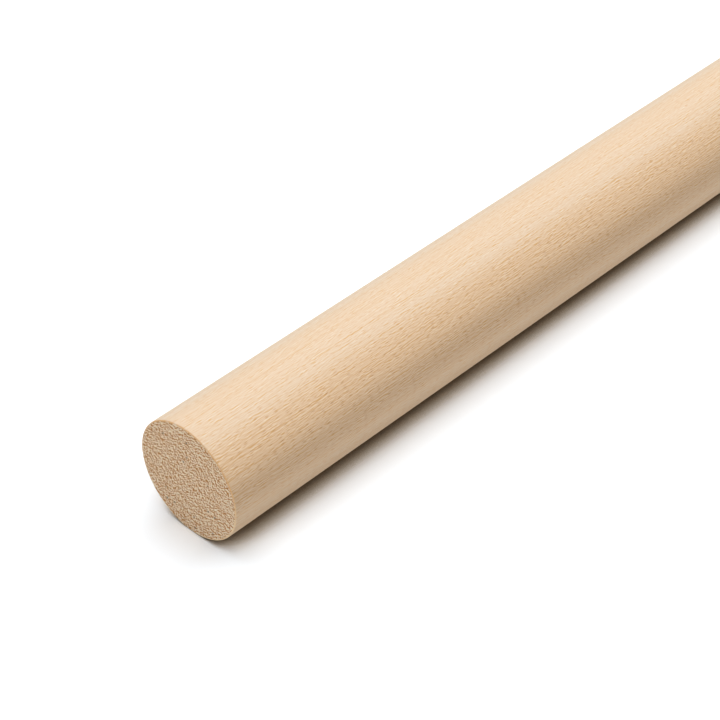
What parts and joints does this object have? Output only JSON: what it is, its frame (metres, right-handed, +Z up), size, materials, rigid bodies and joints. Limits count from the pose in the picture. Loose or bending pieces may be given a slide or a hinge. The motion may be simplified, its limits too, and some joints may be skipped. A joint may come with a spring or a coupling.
{
  "type": "wooden dowel rod",
  "caption": "Straight round dowel rod of pale unfinished hardwood, cut square at the ends with lightly eased rims; stock for rails, pegs, handles and shafts.",
  "frame": {"origin": "middle of the rod's length, on the plane that it lies on, straight below its axis", "axes": "+X along the rod, away from the end that the picture shows; +Z up from the plane that it lies on"},
  "size_m": [1, 0.025, 0.025],
  "materials": {
    "beech": "sanded, unfinished, matt"
  },
  "bodies": {
    "root": {"dowel_rod": "beech"}
  },
  "joints": []
}
